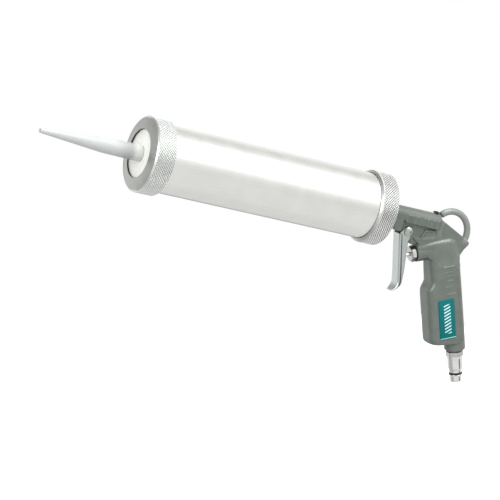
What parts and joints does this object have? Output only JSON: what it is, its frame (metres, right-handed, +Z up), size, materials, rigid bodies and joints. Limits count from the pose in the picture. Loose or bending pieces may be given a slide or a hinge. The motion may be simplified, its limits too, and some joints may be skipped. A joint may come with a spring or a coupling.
{
  "type": "air-powered caulking gun",
  "caption": "Air-powered caulking gun: closed tube between knurled end rings, cartridge with long nozzle, cast handle with trigger valve and hanging loop.",
  "frame": {"origin": "middle of the grip, in the plane of symmetry", "axes": "+X from the nozzle toward the handle along the tube, +Z up, and the label on the side that faces -Y"},
  "size_m": [0.4347, 0.062, 0.1613],
  "materials": {
    "tube_aluminium": "satin",
    "knurled_aluminium": "knurled",
    "grey_paint": "hammered satin",
    "trigger_zinc": "satin plated",
    "bright_chrome": "polished",
    "brass": "turned",
    "spring_steel": "drawn wire",
    "black_rubber": "matte",
    "white_plastic": "moulded",
    "milky_plastic": "translucent",
    "label_teal": "printed film"
  },
  "bodies": {
    "gun": {"air_plug": "bright_chrome", "barrel_adapter": "brass", "barrel_tube": "tube_aluminium", "gland_nut": "bright_chrome", "gland_washer": "black_rubber", "grip_label": "label_teal", "handle_body": "grey_paint", "inlet_washer": "black_rubber", "outlet_washer": "black_rubber", "plug_o_ring": "black_rubber", "rear_cap": "knurled_aluminium", "rear_gasket": "black_rubber", "stem_seal": "black_rubber", "trigger_pin": "bright_chrome", "valve_seat": "brass", "valve_spring": "spring_steel", "vent_plug": "black_rubber"},
    "trigger": {"trigger": "trigger_zinc"},
    "valve": {"valve_stem": "bright_chrome", "valve_poppet": "brass", "poppet_seal": "black_rubber"},
    "cartridge": {"cartridge_body": "white_plastic"},
    "plunger": {"cartridge_plunger": "milky_plastic"},
    "ring": {"front_ring": "knurled_aluminium"},
    "nozzle": {"nozzle": "milky_plastic"}
  },
  "joints": [
    {"name": "trigger_pivot", "type": "hinge", "parent": "gun", "child": "trigger", "pos_m": [-0.0541, 0, 0.0533], "axis": [0, -1, 0], "range_deg": [0, 10], "stiffness_Nm_per_rad": 0.5, "springref_deg": -17.19},
    {"name": "valve_slide", "type": "slide", "parent": "gun", "child": "valve", "axis": [0.9336, 0, 0.3584], "range_m": [0, 0.0038], "deforming": ["valve_spring"]},
    {"name": "cartridge_slide", "type": "slide", "parent": "gun", "child": "cartridge", "axis": [-1, 0, 0], "range_m": [0, 0.0091]},
    {"name": "ring_turn", "type": "hinge", "parent": "cartridge", "child": "ring", "pos_m": [-0.3, 0, 0.066], "axis": [-1, 0, 0], "range_deg": [0, 2160]},
    {"name": "plunger_slide", "type": "slide", "parent": "cartridge", "child": "plunger", "axis": [-1, 0, 0], "range_m": [0, 0.185]},
    {"name": "nozzle_turn", "type": "hinge", "parent": "cartridge", "child": "nozzle", "pos_m": [-0.315, 0, 0.066], "axis": [-1, 0, 0], "continuous": true}
  ],
  "couplings": [
    {"joint": "valve_slide", "follows": "trigger_pivot", "m_per_rad": 0.0214},
    {"joint": "cartridge_slide", "follows": "ring_turn", "m_per_rad": 0.00023873}
  ]
}
